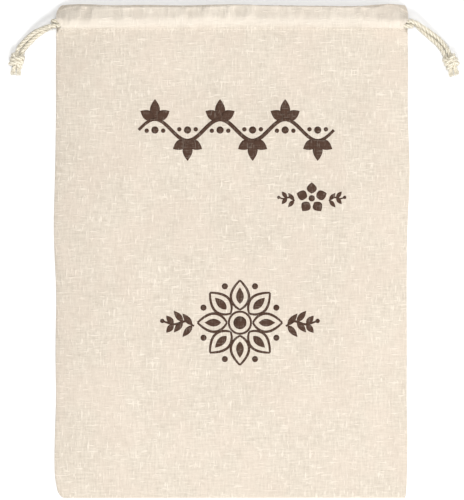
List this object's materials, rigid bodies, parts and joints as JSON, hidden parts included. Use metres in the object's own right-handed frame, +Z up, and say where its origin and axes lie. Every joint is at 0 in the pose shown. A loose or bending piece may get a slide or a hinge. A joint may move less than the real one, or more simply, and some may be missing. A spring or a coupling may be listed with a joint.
{
  "type": "linen bread bag",
  "caption": "Flat empty drawstring bag of natural linen with a casing at the mouth and a knotted twisted cord out at each side.",
  "frame": {"origin": "on the surface the bag lies on, under the middle of the cloth", "axes": "+Z up off the surface and out of the front, +Y from the bottom seam to the mouth, +X to the right of the front"},
  "size_m": [0.3837, 0.4214, 0.0164],
  "materials": {
    "linen": "matt plain weave of natural linen with fine slubs",
    "cotton_cord": "matt twisted cotton"
  },
  "bodies": {
    "root": {"front_panel": "linen", "back_panel": "linen", "drawcord_left": "cotton_cord", "drawcord_right": "cotton_cord", "knot_left": "cotton_cord", "knot_right": "cotton_cord"}
  },
  "joints": []
}
